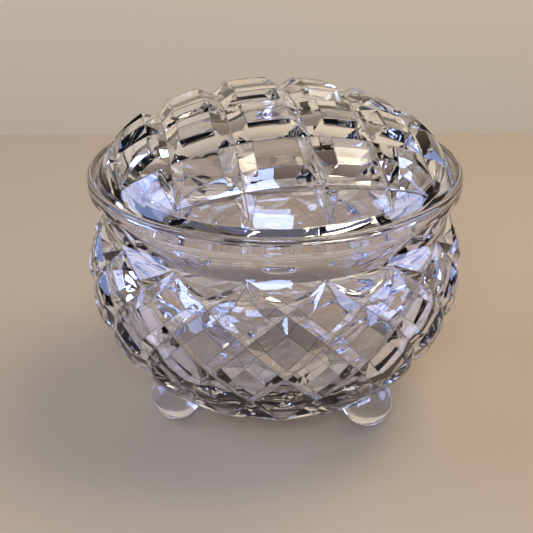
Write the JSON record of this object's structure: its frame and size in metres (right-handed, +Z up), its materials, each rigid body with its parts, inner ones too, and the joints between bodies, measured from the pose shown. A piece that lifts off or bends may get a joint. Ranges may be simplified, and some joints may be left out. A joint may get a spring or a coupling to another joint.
{
  "type": "cut glass powder jar",
  "caption": "Round cut-glass powder jar with a diamond-cut bowl on ball feet and a loose domed lid cut in a square grid.",
  "frame": {"origin": "on the table under the bowl's centre, level with the bottom of the ball feet", "axes": "+Z up along the bowl's axis, -Y towards the front, +X to the right seen from the front"},
  "size_m": [0.1192, 0.1192, 0.107],
  "materials": {
    "bowl_glass": "polished cut crystal",
    "foot_glass": "fire polished",
    "lid_glass": "polished cut crystal"
  },
  "bodies": {
    "bowl_body": {"bowl": "bowl_glass", "foot_front_left": "foot_glass", "foot_front_right": "foot_glass", "foot_rear": "foot_glass"},
    "lid_body": {"lid": "lid_glass"}
  },
  "joints": [
    {"name": "lid_lift", "type": "slide", "parent": "bowl_body", "child": "lid_body", "axis": [0, 0, 1], "range_m": [0, 0.07]}
  ]
}
